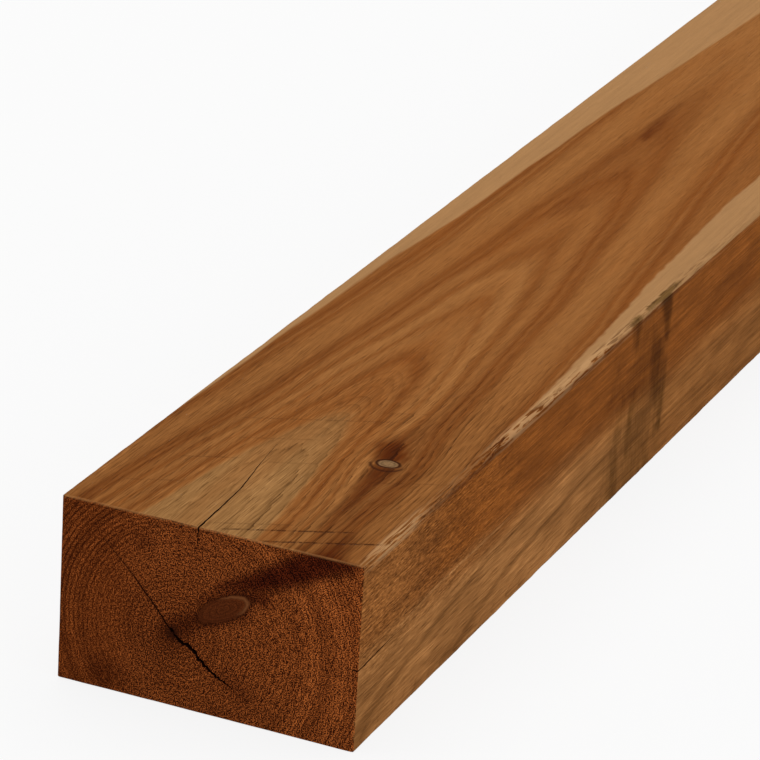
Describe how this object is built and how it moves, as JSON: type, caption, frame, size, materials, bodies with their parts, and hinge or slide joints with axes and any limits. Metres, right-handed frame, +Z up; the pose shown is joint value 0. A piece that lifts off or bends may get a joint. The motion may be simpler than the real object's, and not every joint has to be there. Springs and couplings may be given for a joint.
{
  "type": "timber fence post",
  "caption": "Rough-sawn rectangular timber fence post with the pith inside, one waned long edge and drying checks at one end.",
  "frame": {"origin": "middle of the underside of the post as it lies on a broad face", "axes": "+X along the post, away from the end with the drying checks; +Y across the broad face, away from the waned edge; +Z up"},
  "size_m": [2.4, 0.125, 0.077],
  "materials": {
    "sawn_wood": "rough sawn, untreated, reddish brown heartwood with pale sapwood edges"
  },
  "bodies": {
    "root": {"post": "sawn_wood"}
  },
  "joints": []
}
